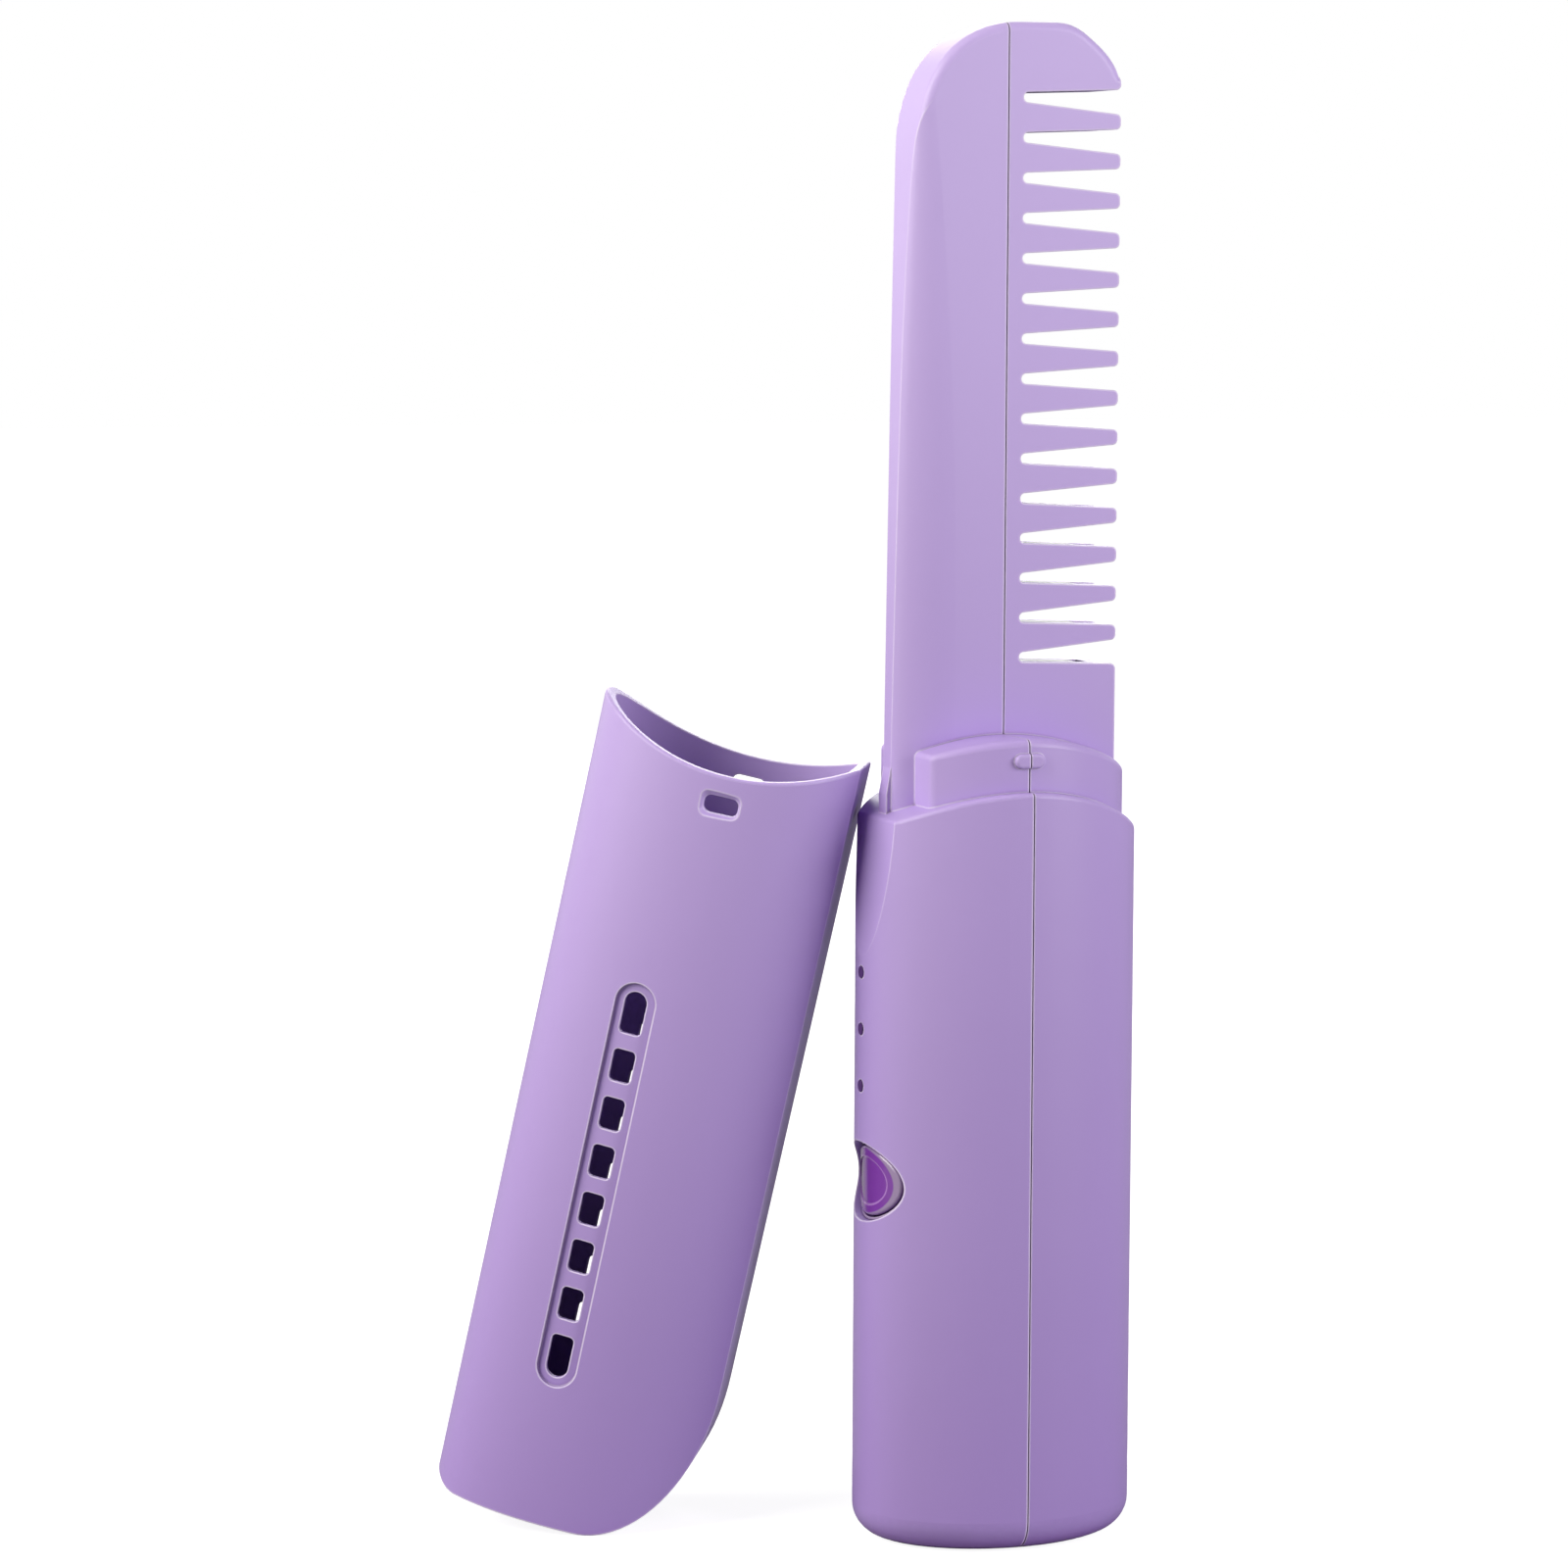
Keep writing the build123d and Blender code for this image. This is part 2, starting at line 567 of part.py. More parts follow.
def heater_carrier():
    """Heat-proof rail behind the comb, with a lip along one side of it and a foot on the spine."""
    low = gap_edge(-1, ROOT_X) - HEATER_END
    half = HEAD_THICK / 2 - HEAD_WALL - HEATER_CLEAR
    back_x = HEATER_BACK_X - CARRIER_DEPTH
    bend_x = SPINE_SHOULDER[0] + SPINE_WALL
    climb = (HEAD_TOP - CROWN_WALL - SPINE_SHOULDER[1]) / (CROWN_CORNER[0] - bend_x)
    high = SPINE_SHOULDER[1] + climb * (back_x - HEATER_CLEAR - bend_x)
    rail = block(back_x, HEATER_BACK_X, -half, half, low, high)
    lip_y = -HEATER_THICK / 2 - SHEET_THICK
    lip = block(HEATER_BACK_X, HEATER_BACK_X + CARRIER_LIP, -half, lip_y, low, high)
    foot_z = SPINE_MID[1]
    foot = block(SPINE_MID[0] + SPINE_WALL, back_x, -FOOT_WIDE / 2, FOOT_WIDE / 2, foot_z - FOOT_HIGH, foot_z)
    return rail + lip + foot


def fuse_axis_x():
    return HEATER_BACK_X - CARRIER_DEPTH - FUSE_DIA / 2


def fuse_low():
    return gap_edge(-1, ROOT_X) + FUSE_ABOVE_GAP


def thermal_fuse():
    body = Pos(fuse_axis_x(), 0, fuse_low()) * extrude(Circle(FUSE_DIA / 2), FUSE_LENGTH)
    return fillet(body.edges(), 0.3)


def thermistor():
    low = gap_edge(-1, ROOT_X) - HEATER_END
    return Pos(HEATER_BACK_X / 2, 0, low - THERMISTOR_DIA / 2) * Sphere(THERMISTOR_DIA / 2)


def wire(points, diameter, radius):
    path = FilletPolyline(*points, radius=radius)
    start = Plane(origin=path @ 0, z_dir=path % 0)
    return sweep(start * Circle(diameter / 2), path)


def heater_leads():
    near_board = BOARD_IN + LEAD_DIA / 2 + LEAD_GAP
    foot = BOARD_TOP_Z - LEAD_ON_BOARD
    neck = SHOULDER_TOP + COLLAR_RISE
    bend_z = BOARD_TOP_Z + LEAD_BEND
    side_y = HEATER_THICK / 2 + LEAD_DIA / 2 + LEAD_GAP
    to_fuse = wire([(near_board, -side_y, foot), (near_board, -side_y, bend_z),
                    (fuse_axis_x(), 0, neck), (fuse_axis_x(), 0, fuse_low())], LEAD_DIA, LEAD_BEND)
    pad_z = TEETH_MIDDLE_Z - CERAMIC_LENGTH / 2
    to_plate = wire([(near_board, side_y, foot), (near_board, side_y, bend_z),
                     (HEATER_BACK_X / 2, side_y, neck), (HEATER_BACK_X / 2, side_y, pad_z)],
                    LEAD_DIA, LEAD_BEND)
    return Compound([to_fuse, to_plate])


def sensor_leads():
    near_board = BOARD_IN + SENSOR_LEAD_DIA / 2 + LEAD_GAP
    foot = BOARD_TOP_Z - SENSOR_LEAD_ON_BOARD
    bend_z = BOARD_TOP_Z + LEAD_BEND
    neck = SHOULDER_TOP + COLLAR_RISE
    bead = gap_edge(-1, ROOT_X) - HEATER_END - THERMISTOR_DIA
    wires = []
    for y in (-SENSOR_SPREAD, SENSOR_SPREAD):
        wires.append(wire([(near_board, y, foot), (near_board, y, bend_z),
                           (HEATER_BACK_X / 2, y, neck), (HEATER_BACK_X / 2, y, bead - LEAD_GAP)],
                          SENSOR_LEAD_DIA, LEAD_BEND))
    return Compound(wires)


# ------------------------------------------------------------------ power pack
def battery_cell():
    cell = Pos(CELL_X, 0, CELL_FOOT_Z) * extrude(Circle(CELL_DIA / 2), CELL_LENGTH)
    return fillet(cell.edges(), 0.8)


def tab_leg_x():
    return CELL_X - CELL_DIA / 2 - TAB_OFF_CELL


def battery_tabs():
    leg_x = tab_leg_x()
    half = TAB_WIDTH / 2
    low = CELL_FOOT_Z - TAB_THICK
    high = CELL_FOOT_Z + CELL_LENGTH
    foot = block(leg_x, CELL_X + TAB_REACH, -half, half, low, low + TAB_THICK)
    foot += block(leg_x - TAB_THICK, leg_x, -half, half, low, low + TAB_LEG)
    head = block(leg_x, CELL_X + TAB_REACH, -half, half, high, high + TAB_THICK)
    head += block(leg_x - TAB_THICK, leg_x, -half, half, high + TAB_THICK - TAB_LEG, high + TAB_THICK)
    return Compound([foot, head])


def battery_pads():
    low = CELL_FOOT_Z - TAB_THICK - PAD_THICK
    high = CELL_FOOT_Z + CELL_LENGTH + TAB_THICK
    half = PAD_SIDE / 2
    pads = []
    for z in (low, high):
        pad = block(CELL_X + TAB_REACH - PAD_SIDE, CELL_X + TAB_REACH, -half, half, z, z + PAD_THICK)
        pads.append(fillet(pad.edges().filter_by(Axis.Z), 1.0))
    return Compound(pads)


def battery_leads():
    x = tab_leg_x() - TAB_THICK - LEAD_DIA / 2
    low = CELL_FOOT_Z + LEAD_FROM_END
    high = CELL_FOOT_Z + CELL_LENGTH - LEAD_FROM_END
    wires = []
    for y in (-LEAD_SPREAD, LEAD_SPREAD):
        for start, end in ((low, low + LEAD_DROP), (high, high - LEAD_DROP)):
            wires.append(wire([(x, y, start), (x, y, end), (BOARD_IN, y, end)], LEAD_DIA, SMALL_BEND))
    return Compound(wires)


# ------------------------------------------------------------------ circuit board and what it carries
def main_board():
    board = block(BOARD_OUT, BOARD_IN, -BOARD_WIDTH / 2, BOARD_WIDTH / 2, BOARD_FOOT_Z, BOARD_TOP_Z)
    board = fillet(board.edges().filter_by(Axis.X), 1.0)
    for z in BOSS_HEIGHTS:
        board -= rod_x(BOARD_OUT - 1, BOARD_IN + 1, 0, z, SCREW_DIA + 2 * SCREW_FIT)
    return board


def board_screws():
    screws = []
    for z in BOSS_HEIGHTS:
        shank = rod_x(BOARD_IN - SCREW_LENGTH, BOARD_IN, 0, z, SCREW_DIA)
        head = rod_x(BOARD_IN, BOARD_IN + SCREW_HEAD_HIGH, 0, z, SCREW_HEAD_DIA)
        recess_x = BOARD_IN + SCREW_HEAD_HIGH / 2
        top_x = BOARD_IN + SCREW_HEAD_HIGH
        half = CROSS_SPAN / 2
        across = block(recess_x, top_x, -half, half, z - CROSS_WIDE / 2, z + CROSS_WIDE / 2)
        along = block(recess_x, top_x, -CROSS_WIDE / 2, CROSS_WIDE / 2, z - half, z + half)
        screws.append(shank + head - across - along)
    return Compound(screws)


def on_board(place, high):
    """A block on the board's inner face, from its (Z, Y, size in Z, size in Y)."""
    z, y, long_z, wide_y = place
    return block(BOARD_IN, BOARD_IN + high, y - wide_y / 2, y + wide_y / 2, z - long_z / 2, z + long_z / 2)


def chip(place):
    body = on_board(place, CHIP_HIGH)
    return chamfer(body.faces().sort_by(Axis.X)[-1].edges(), 0.15)


def power_inductor():
    return fillet(on_board(INDUCTOR, INDUCTOR_HIGH).edges().filter_by(Axis.X), 0.8)


def usb_socket():
    """Metal shell, closed at the inner end, with a tongue from there towards the mouth."""
    shell = extrude(Pos(SOCKET_X, 0, SOCKET_RECESS) * socket_profile(0), SOCKET_DEEP)
    end_z = SOCKET_RECESS + SOCKET_DEEP - SOCKET_END
    shell -= extrude(Pos(SOCKET_X, 0, end_z) * socket_profile(-SOCKET_SKIN), -2 * SOCKET_DEEP)
    half_thick = TONGUE_THICK / 2
    half_wide = TONGUE_WIDE / 2
    return shell + block(SOCKET_X - half_thick, SOCKET_X + half_thick, -half_wide, half_wide,
                         end_z - TONGUE_LENGTH, end_z)


def indicator_leds():
    leds = []
    half = LED_SIDE / 2
    for z in light_places():
        leds.append(block(BOARD_OUT - LED_HIGH, BOARD_OUT, -half, half, z - half, z + half))
    return Compound(leds)


def light_guide():
    """Three clear posts on one bar, pushed into the back from inside."""
    bar_x = -HANDLE_HALF_WIDTH + HANDLE_WALL + GUIDE_FIT + 0.35
    places = light_places()
    guide = block(bar_x, bar_x + GUIDE_BAR_THICK, -GUIDE_BAR / 2, GUIDE_BAR / 2,
                  places[-1] - GUIDE_BAR / 2, places[0] + GUIDE_BAR / 2)
    for z in places:
        post = rod_x(-HANDLE_HALF_WIDTH - LIGHT_PROUD, BOARD_OUT - LED_HIGH - 0.1, 0, z, LIGHT_DIA)
        guide += post
    return guide


# ------------------------------------------------------------------ button and switch
def power_button():
    flange_top = HANDLE_WALL + FLANGE_CLEAR
    face = skin_patch(oval(BUTTON_WIDE, BUTTON_HIGH), BUTTON_SINK, flange_top + FLANGE_THICK / 2)
    half_x = HANDLE_HALF_WIDTH - BUTTON_SINK
    half_y = HANDLE_HALF_THICK - BUTTON_SINK
    rim = [e for e in face.edges()
           if abs(((e @ 0.3).X / half_x) ** 2 + ((e @ 0.3).Y / half_y) ** 2 - 1) < 0.001]
    face = fillet(rim, BUTTON_EDGE)
    face -= skin_patch(oval(DISH_WIDE, DISH_HIGH), -BUTTON_EDGE, BUTTON_SINK + DISH_DEEP)
    flange = skin_patch(oval(FLANGE_WIDE, OPENING_HIGH + 2 * FLANGE_OVERLAP),
                        flange_top, flange_top + FLANGE_THICK)
    return face + flange


def button_ring():
    outer = oval(OPENING_WIDE - 2 * RING_FIT, OPENING_HIGH - 2 * RING_FIT)
    inner = oval(BUTTON_WIDE + 2 * BUTTON_CLEAR, BUTTON_HIGH + 2 * BUTTON_CLEAR)
    return skin_patch(outer - inner, RING_SINK, HANDLE_WALL)


def switch_body():
    half = SWITCH_SIDE / 2
    body = block(BOARD_OUT - SWITCH_HIGH, BOARD_OUT, -half, half, BUTTON_Z - half, BUTTON_Z + half)
    body = chamfer(body.faces().sort_by(Axis.X)[0].edges(), 0.3)
    bore_end = BOARD_OUT - SWITCH_HIGH + PLUNGER_SUNK + BUTTON_TRAVEL + PLUNGER_CLEAR
    return body - rod_x(BOARD_OUT - SWITCH_HIGH - 1, bore_end, 0, BUTTON_Z, PLUNGER_DIA + 2 * PLUNGER_CLEAR)


def switch_plunger():
    under_button = -HANDLE_HALF_WIDTH + HANDLE_WALL + FLANGE_CLEAR + FLANGE_THICK
    sunk_end = BOARD_OUT - SWITCH_HIGH + PLUNGER_SUNK
    plunger = rod_x(under_button + PLUNGER_GAP, sunk_end, 0, BUTTON_Z, PLUNGER_DIA)
    return chamfer(plunger.faces().sort_by(Axis.X)[0].edges(), 0.2)


# ------------------------------------------------------------------ cap
CAP_END_Z = HEAD_TOP + CAP_END_CLEAR + CAP_WALL


def cap_side(inset):
    """Side view of the closed cap: straight back, large oval corner, flat end, small front corner."""
    big_x, big_z = CAP_BIG_CORNER
    end = CAP_END_Z - inset
    back = -CAP_BACK_AT_END + inset
    low = SHOULDER_TOP - COLLAR_ROOT
    corner_x = back + big_x - inset
    corner_z = end - big_z + inset
    big = EllipticalCenterArc((corner_x, corner_z), big_x - inset, big_z - inset, start_angle=90, arc_size=90)
    front = CAP_TIP_HALF_WIDTH - inset + 0.4
    small = ThreePointArc((front, end - CAP_SMALL_CORNER * 1.3), (front - 0.25 * CAP_SMALL_CORNER,
                          end - 0.38 * CAP_SMALL_CORNER), (front - 1.2 * CAP_SMALL_CORNER, end))
    mouth_back = -BACK_AT_SHOULDER + inset
    rest = Polyline((back, corner_z), (mouth_back, arch_height(-BACK_AT_SHOULDER, SHOULDER_TOP)),
                    (mouth_back, low), (FAR / 2, low), (FAR / 2, end - CAP_SMALL_CORNER * 1.3),
                    (front, end - CAP_SMALL_CORNER * 1.3))
    flat = Line((front - 1.2 * CAP_SMALL_CORNER, end), (corner_x, end))
    return make_face(big + rest + small + flat)


CAP_SKIRT_Z = SHOULDER_TOP - COLLAR_ROOT    # the cap has the handle's own section here
CAP_TIP_Z = CAP_END_Z + CAP_WALL            # and its narrowest section here


def cap_form(inset):
    skirt = Pos(0, 0, CAP_SKIRT_Z) * Ellipse(HANDLE_HALF_WIDTH - inset, HANDLE_HALF_THICK - inset)
    tip = Pos(0, 0, CAP_TIP_Z) * Ellipse(CAP_TIP_HALF_WIDTH - inset, CAP_TIP_HALF_THICK - inset)
    return loft([skirt, tip]) & side_slab(cap_side(inset))


def cap_half_thick(z):
    share = (z - CAP_SKIRT_Z) / (CAP_TIP_Z - CAP_SKIRT_Z)
    return HANDLE_HALF_THICK + share * (CAP_TIP_HALF_THICK - HANDLE_HALF_THICK)


def end_vent(z, away):
    """The vent at one end of the row: longer, and half round on its outer side."""
    shape = Pos(VENT_X, z + away * VENT_END_EXTRA / 2) * Rectangle(VENT_WIDE, VENT_HIGH + VENT_END_EXTRA)
    outer = [v for v in shape.vertices() if (v.Y - z) * away > 0]
    shape = fillet(outer, VENT_WIDE / 2 - 0.02)
    inner = [v for v in shape.vertices() if abs(v.Y - (z - away * VENT_HIGH / 2)) < 0.01]
    return fillet(inner, VENT_ROUND)


def vent_cutters():
    last_z = VENT_FIRST_Z + (VENT_COUNT - 1) * VENT_PITCH
    cut = side_slab(end_vent(VENT_FIRST_Z, -1)) + side_slab(end_vent(last_z, 1))
    vent = RectangleRounded(VENT_WIDE, VENT_HIGH, VENT_ROUND)
    for i in range(1, VENT_COUNT - 1):
        cut += side_slab(Pos(VENT_X, VENT_FIRST_Z + i * VENT_PITCH) * vent)
    return cut


def vent_recess():
    length = (VENT_COUNT - 1) * VENT_PITCH + VENT_HIGH + 2 * (VENT_END_EXTRA + VENT_MARGIN)
    middle = VENT_FIRST_Z + (VENT_COUNT - 1) / 2 * VENT_PITCH
    track = Pos(VENT_X, middle) * Rot(0, 0, 90) * SlotOverall(length, VENT_WIDE + 2 * VENT_MARGIN)
    return side_slab(track) - cap_form(VENT_RECESS)


def snap_slots():
    """Both slots for the snap nubs, each opening out to the skin of the cap."""
    z = SHOULDER_TOP + COLLAR_RISE - NUB_BELOW_COLLAR

    def outline(grow):
        clear = SLOT_NUB_CLEAR + grow
        return Pos(PARTING_X, z) * RectangleRounded(NUB_WIDE + 2 * clear, NUB_HIGH + 2 * clear, NUB_HIGH / 2)

    skin = cap_half_thick(z)
    bevel = loft([Plane.XZ.offset(skin - SLOT_BEVEL) * outline(0),
                  Plane.XZ.offset(skin + SLOT_BEVEL) * outline(2 * SLOT_BEVEL)])
    return side_slab(outline(0)) + bevel + mirror(bevel, Plane.XZ)


def closed_cap():
    outside = cap_form(0) - under_arch(SHOULDER_TOP + CAP_GAP)
    mouth = outside.faces().sort_by(Axis.Z)[0]
    outside = fillet(mouth.edges(), CAP_MOUTH_ROUND)
    cap = outside - cap_form(CAP_WALL)
    cap -= vent_recess()
    cap -= vent_cutters()
    return cap - snap_slots()


def standing_cap():
    """The cap upside down, leaning on the edge of the shoulder."""
    cap = Rot(0, CAP_LEAN, 0) * (Rot(0, 180, 0) * closed_cap())
    lift = -cap.bounding_box().min.Z
    lean = math.radians(CAP_LEAN)
    turn = math.radians(-CAP_TURN)
    shoulder_z = arch_height(-BACK_AT_SHOULDER, SHOULDER_TOP)
    edge_y = HANDLE_HALF_THICK * math.sqrt(1 - (BACK_AT_SHOULDER / HANDLE_HALF_WIDTH) ** 2)
    touch_x = -(BACK_AT_SHOULDER * math.cos(turn) + edge_y * math.sin(turn))

    def leaned(x, z):
        return x * math.cos(lean) + z * math.sin(lean), z * math.cos(lean) - x * math.sin(lean) + lift

    high_x, high_z = leaned(BACK_AT_SHOULDER, -shoulder_z)
    low_x, low_z = leaned(CAP_BACK_AT_END, CAP_BIG_CORNER[1] - CAP_END_Z)
    share = (shoulder_z - low_z) / (high_z - low_z)
    cap_x = low_x + share * (high_x - low_x)
    shift = touch_x - CAP_AIR / math.cos(lean) - cap_x
    return Rot(0, 0, CAP_TURN) * (Pos(shift, CAP_SIDE, lift) * cap)


back_shell, front_shell = make_shells()

NODES = {
    "back_shell": back_shell,
    "front_shell": front_shell,
    "heater_comb": heater_comb(),
    "ceramic_heater": ceramic_heater(),
    "insulation_sheets": insulation_sheets(),
    "heater_carrier": heater_carrier(),
    "thermal_fuse": thermal_fuse(),
    "thermistor": thermistor(),
    "heater_leads": heater_leads(),
    "sensor_leads": sensor_leads(),
    "battery_cell": battery_cell(),
    "battery_tabs": battery_tabs(),
    "battery_pads": battery_pads(),
    "battery_leads": battery_leads(),
    "main_board": main_board(),
    "board_screws": board_screws(),
    "control_chip": chip(CONTROL_CHIP),
    "charger_chip": chip(CHARGER_CHIP),
    "heater_transistor": chip(TRANSISTOR),
    "power_inductor": power_inductor(),
    "usb_socket": usb_socket(),
    "indicator_leds": indicator_leds(),
    "light_guide": light_guide(),
    "power_button": power_button(),
    "button_ring": button_ring(),
    "switch_body": switch_body(),
    "switch_plunger": switch_plunger(),
    "cap": standing_cap(),
}

for node, shape in NODES.items():
    shape.label = node
    export_step(shape, f"parts/{node}.step")
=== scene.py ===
"""Hot comb with its cap standing beside it: looks, light and camera."""
import math

import bpy
from mathutils import Matrix, Vector


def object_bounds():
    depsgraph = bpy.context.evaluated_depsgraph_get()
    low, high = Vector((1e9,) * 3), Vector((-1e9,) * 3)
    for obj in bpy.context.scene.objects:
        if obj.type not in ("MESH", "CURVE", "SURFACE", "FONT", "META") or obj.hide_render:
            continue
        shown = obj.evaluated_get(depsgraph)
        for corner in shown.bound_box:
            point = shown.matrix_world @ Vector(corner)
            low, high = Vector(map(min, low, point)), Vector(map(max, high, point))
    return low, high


MM = 0.001
IMAGE_SIDE = 1600

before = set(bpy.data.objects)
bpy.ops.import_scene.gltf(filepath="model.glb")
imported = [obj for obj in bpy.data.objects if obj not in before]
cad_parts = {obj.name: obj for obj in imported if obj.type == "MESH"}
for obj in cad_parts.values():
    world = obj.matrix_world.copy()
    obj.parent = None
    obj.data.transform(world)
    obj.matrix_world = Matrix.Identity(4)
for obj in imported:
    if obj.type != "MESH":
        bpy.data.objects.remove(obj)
CAD_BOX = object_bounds()

# ------------------------------------------------------------------ colours
# sRGB, 0 to 255
# painted light: the lavender is lighter at the top and darker at the foot, as the light falls
LAVENDER_HEAD_LIT = (200, 177, 232)
LAVENDER_FOOT_SHADED = (163, 135, 201)
# painted highlight along the lavender edges
LAVENDER_EDGE_HIGHLIGHT = (230, 217, 245)
VIOLET = (120, 52, 158)
# painted highlight along the violet edges
VIOLET_EDGE_HIGHLIGHT = (190, 140, 215)
RING = (150, 128, 166)
# painted highlight along the mauve edges
RING_EDGE_HIGHLIGHT = (200, 184, 210)
GUIDE = (104, 68, 138)
CREASE_SHADE_VIOLET = (74, 38, 106)            # painted shade in inner corners
FLOOR = (170, 170, 170)
# linear, 0 to 1
WHITE = (1.0, 1.0, 1.0, 1.0)
ROOM_TINT = (0.84, 0.62, 0.92, 1.0)    # light that has bounced between lavender walls

# ------------------------------------------------------------------ moulded plastic
EDGE_ROUND = 0.25 * MM         # how far the shading rounds an edge
EDGE_HIGHLIGHT_REACH = 0.33 * MM         # width of the painted highlight along an edge
EDGE_HIGHLIGHT_TURN = (0.998, 0.975)     # cosine of the turn where that painted highlight starts and where it is full
EDGE_HIGHLIGHT_SHARE = 0.75              # its strength
CREASE_REACH = 0.7 * MM        # width of the shade in an inner corner
CREASE_OPEN = (0.25, 0.8)      # openness at which that shade is full and at which it is gone
CREASE_SHARE = 0.9             # its strength
ROOM_REACH = 6.0 * MM          # walls closer than this tint each other with a painted shade of bounced light
ROOM_OPEN = (0.1, 0.6)         # openness at which the tint is full and at which it is gone
PROBES = 8                     # samples of each edge and corner test
CLOUD_SCALE = 25.0             # slow drift of the tone
CLOUD_SPREAD = 0.015
GLOSS_SCALE = 90.0             # drift of the roughness
GLOSS_SPREAD = 0.02
MOULD_GRAIN_SCALE = 5200.0
MOULD_GRAIN_STRENGTH = 0.5
GRAIN_DEPTH = 0.01 * MM
PLASTIC_IOR = 1.5
PLASTIC_SPECULAR = 0.28
COAT_ROUGHNESS = 0.06

BUTTON_OVAL = (5.95 * MM, 4.1 * MM)         # half width and half height
BUTTON_MIDDLE = (0.45 * MM, 42.95 * MM)     # of the violet part, off the oval's own middle
BUTTON_RIM = (0.91, 0.94)                   # share of the oval where violet turns to mauve

# ------------------------------------------------------------------ other materials
PLAIN_TONE_SCALE = 150.0
PLAIN_TONE_SPREAD = 0.08
PLAIN_GLOSS_SCALE = 300.0
PLAIN_GLOSS_SPREAD = 0.1
PLAIN_GRAIN_SCALE = 3600.0
PLAIN_GRAIN_STRENGTH = 0.6
GUIDE_TONE_SCALE = 800.0
GUIDE_DARKEST = 0.95
GUIDE_ROUGHNESS = 0.35
GUIDE_GLOSS_SCALE = 900.0
GUIDE_GLOSS_SPREAD = 0.2
GUIDE_CLEAR = 0.35             # share of light that passes through
GUIDE_IOR = 1.49

# material, colour, roughness, metallic, the CAD nodes that wear it
PLAIN_SURFACES = [
    ("black_anodised", (12, 12, 14), 0.38, 0.3, ["heater_comb"]),
    ("alumina", (228, 226, 218), 0.7, 0.0, ["ceramic_heater"]),
    ("mica", (190, 165, 120), 0.5, 0.0, ["insulation_sheets"]),
    ("black_nylon", (24, 24, 26), 0.6, 0.0, ["heater_carrier"]),
    ("bright_zinc", (190, 190, 194), 0.3, 1.0, ["thermal_fuse"]),
    ("amber_bead", (150, 84, 40), 0.3, 0.0, ["thermistor"]),
    ("red_insulation", (170, 30, 26), 0.5, 0.0, ["heater_leads", "battery_leads"]),
    ("white_insulation", (220, 220, 216), 0.5, 0.0, ["sensor_leads"]),
    ("cell_sleeve", (40, 110, 160), 0.4, 0.0, ["battery_cell"]),
    ("bright_nickel", (200, 198, 190), 0.3, 1.0, ["battery_tabs"]),
    ("grey_foam", (60, 60, 62), 0.9, 0.0, ["battery_pads"]),
    ("solder_mask", (16, 92, 52), 0.35, 0.0, ["main_board"]),
    ("screw_zinc", (190, 190, 194), 0.3, 1.0, ["board_screws"]),
    ("moulded_epoxy", (30, 30, 32), 0.55, 0.0,
     ["control_chip", "charger_chip", "heater_transistor"]),
    ("ferrite", (58, 58, 60), 0.6, 0.0, ["power_inductor"]),
    ("socket_nickel", (196, 194, 188), 0.25, 1.0, ["usb_socket"]),
    ("led_lens", (236, 230, 208), 0.4, 0.0, ["indicator_leds"]),
    ("switch_black", (28, 28, 30), 0.5, 0.0, ["switch_body"]),
    ("natural_nylon", (222, 222, 216), 0.5, 0.0, ["switch_plunger"]),
]

# ------------------------------------------------------------------ camera
CAMERA_PLACE = (-235.99 * MM, -552.2 * MM, 150.0 * MM)
AIM_HEIGHT = 89.13 * MM        # of the view's middle, at AIM_DISTANCE ahead of the camera
AIM_DISTANCE = 600.0 * MM
VIEW_TURN = math.radians(20.76)        # from +Y towards +X
VIEW_DOWN = math.atan2(CAMERA_PLACE[2] - AIM_HEIGHT, AIM_DISTANCE)
VIEW_ROLL = math.radians(0.246)
SENSOR = 36.0                  # millimetres, as Blender takes it
FOCAL_PIXELS = 5227.2
CLIP_START = 10.0 * MM

# ------------------------------------------------------------------ floor and light, in metres
FLOOR_HALF = 4.0
FLOOR_DROP = 0.1 * MM          # keeps the floor's face off the object's base
FLOOR_ROUGHNESS = 0.9
FLOOR_GLOW = 0.88              # what the camera sees of it by itself near the object
GLOW_NEAR = 0.12               # up to this far from the object's middle
GLOW_FAR = 0.5                 # and from here on it is white
AMBIENT = 0.06                 # world light on the object; the camera sees it as white

LAMP_AIM = (0.0, 0.0, 0.09)
# name, place, size, power in watts, colour
LAMPS = [
    ("key", (-0.6, 0.0, 0.43), (0.6, 0.55), 6.4, (1.0, 1.0, 0.9)),
    ("fill", (0.6, -0.7, 0.35), (0.5, 0.6), 7.2, (1.0, 0.98, 1.0)),
    ("back", (0.3, 0.9, 0.4), (0.5, 0.5), 2.5, (1.0, 1.0, 1.0)),
]


# ------------------------------------------------------------------ shader helpers
def linear(rgb, factor=1.0):
    """An sRGB colour of 0 to 255, times a factor, as the linear colour that a shader takes."""
    out = []
    for value in rgb:
        c = value / 255
        light = c / 12.92 if c <= 0.04045 else ((c + 0.055) / 1.055) ** 2.4
        out.append(min(1.0, light * factor))
    return (*out, 1.0)


def new_material(name):
    """(material, node tree, its Principled shader)"""
    material = bpy.data.materials.new(name)
    material.use_nodes = True
    tree = material.node_tree
    return material, tree, tree.nodes["Principled BSDF"]


def add(tree, kind, **settings):
    node = tree.nodes.new(kind)
    for key, value in settings.items():
        setattr(node, key, value)
    return node


def object_coords(tree):
    return add(tree, "ShaderNodeTexCoord").outputs["Object"]


